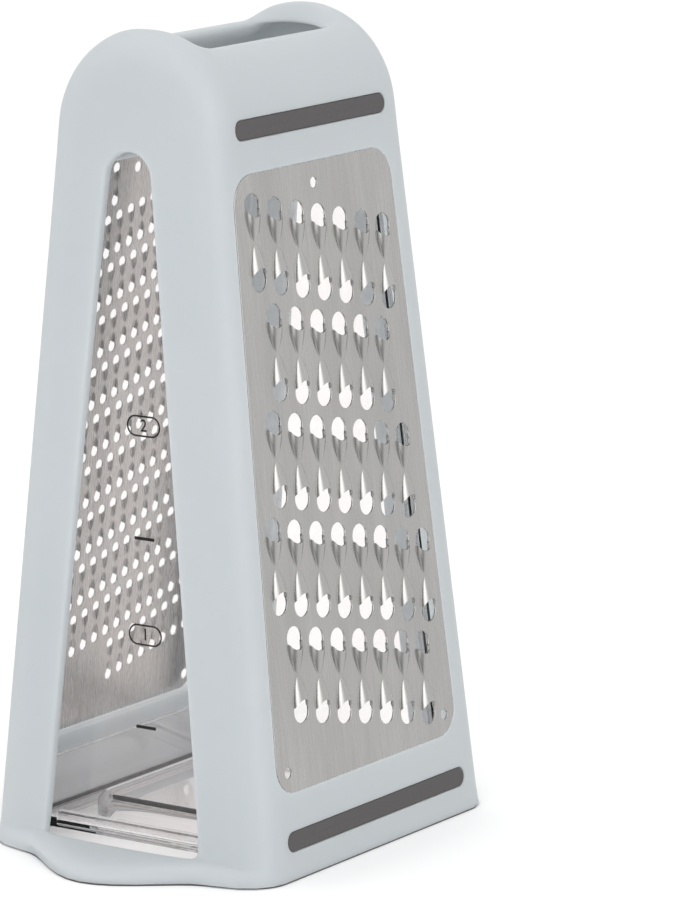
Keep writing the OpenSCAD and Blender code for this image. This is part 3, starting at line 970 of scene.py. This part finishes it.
makeMarks()


# Camera at the photograph's angle, placed in metres, with its lens and sensor in mm

view = {"place": (-1.0354, -0.7677, 0.3605), "target": (0.04605, 0, 0.08733), "roll": -0.013,
        "lens": 202.2, "sensor": 36, "farthest": 20}
deselectAll()
bpy.ops.object.camera_add(location=view["place"])
camera = bpy.context.object
look = Vector(view["target"]) - Vector(view["place"])
turned = look.to_track_quat("-Z", "Y").to_matrix() @ Matrix.Rotation(view["roll"], 3, "Z")
camera.rotation_euler = turned.to_euler()
camera.data.lens = view["lens"]
camera.data.sensor_fit = "VERTICAL"
camera.data.sensor_height = view["sensor"]
camera.data.clip_end = view["farthest"]
bpy.context.scene.camera = camera
print("camera placed")

# Pale floor and soft light

# each lamp's place and size are in metres and its power is in watts; the sky and the room are
# given by their light from one side to the other, and by the directions where it changes
studio = {
    "lamps": {"top": ((-0.5, -0.7, 1.7), 1.4, 5), "side": ((-1.3, -0.35, 0.3), 0.8, 4)},
    "floorSize": 6,
    "skyLow": 0.78, "skyHigh": 1.2, "skyFrom": -0.1, "skyTo": 0.9,
    "roomLeft": 0.25, "roomRight": 0.78, "roomFrom": -0.95, "roomTo": -0.45,
    "softBox": (-0.3, -0.92, 0.25), "softBoxLight": 1.4,
    "darkPatch": (-0.1, -0.93, -0.36), "darkPatchLight": -0.5,
    "patchFrom": 0.8, "patchTo": 0.97,
}
deselectAll()
bpy.ops.mesh.primitive_plane_add(size=studio["floorSize"])
floor = nameNew("floor")
paint(floor, newFinish("pale_paper", Roughness=0.8, Base_Color=linearColour("#F5F5F5"))[0])
floor.visible_glossy = False

for place, size, power in studio["lamps"].values():
    # soft lamps that light the moulding but aren't mirrored in the steel
    deselectAll()
    bpy.ops.object.light_add(type="AREA", location=place)
    lamp = bpy.context.object
    lamp.rotation_euler = (-Vector(place)).to_track_quat("-Z", "Y").to_euler()
    lamp.data.size = size
    lamp.data.energy = power
    lamp.visible_camera = lamp.visible_glossy = False


def easedRange(tree, source, low, high, fromValue, toValue):
    # a soft step from one value to another as the source goes from low to high
    return addNode(tree, "ShaderNodeMapRange",
                   {"From Min": low, "From Max": high, "To Min": fromValue, "To Max": toValue},
                   {"interpolation_type": "SMOOTHSTEP"}, {"Value": source}).outputs["Result"]


def roomPatch(tree, direction, name):
    # a round soft patch of the room, lighter or darker than the rest
    facing = addNode(tree, "ShaderNodeVectorMath", {1: Vector(studio[name]).normalized()},
                     {"operation": "DOT_PRODUCT"}, {0: direction}).outputs["Value"]
    return easedRange(tree, facing, studio["patchFrom"], studio["patchTo"], 0, studio[name + "Light"])


def lightRoom():
    # the sky lights the object evenly; the steel mirrors a room with a soft box and a dark patch
    world = bpy.data.worlds.new("studio")
    bpy.context.scene.world = world
    world.use_nodes = True
    world.cycles.sampling_method = "NONE"
    tree = world.node_tree
    direction = addNode(tree, "ShaderNodeTexCoord").outputs["Generated"]
    parts = addNode(tree, "ShaderNodeSeparateXYZ", links={"Vector": direction}).outputs
    sky = easedRange(tree, parts["Z"], studio["skyFrom"], studio["skyTo"],
                     studio["skyLow"], studio["skyHigh"])
    mirrored = easedRange(tree, parts["X"], studio["roomFrom"], studio["roomTo"],
                          studio["roomLeft"], studio["roomRight"])
    for name in ("softBox", "darkPatch"):
        mirrored = addNode(tree, "ShaderNodeMath", settings={"operation": "ADD"},
                           links={0: mirrored, 1: roomPatch(tree, direction, name)}).outputs["Value"]
    path = addNode(tree, "ShaderNodeLightPath").outputs
    light = addNode(tree, "ShaderNodeMix",
                    links={"Factor": path["Is Glossy Ray"], "A": sky, "B": mirrored})
    # the backdrop itself is plain white
    seen = addNode(tree, "ShaderNodeMix",
                   links={"Factor": path["Is Camera Ray"], "A": light.outputs["Result"]})
    seen.inputs["B"].default_value = 1
    tree.links.new(seen.outputs["Result"], tree.nodes["Background"].inputs["Strength"])
    tree.nodes["Background"].inputs["Color"].default_value = (1, 1, 1, 1)


lightRoom()
bpy.context.scene.view_settings.view_transform = "Standard"
print("room lit")
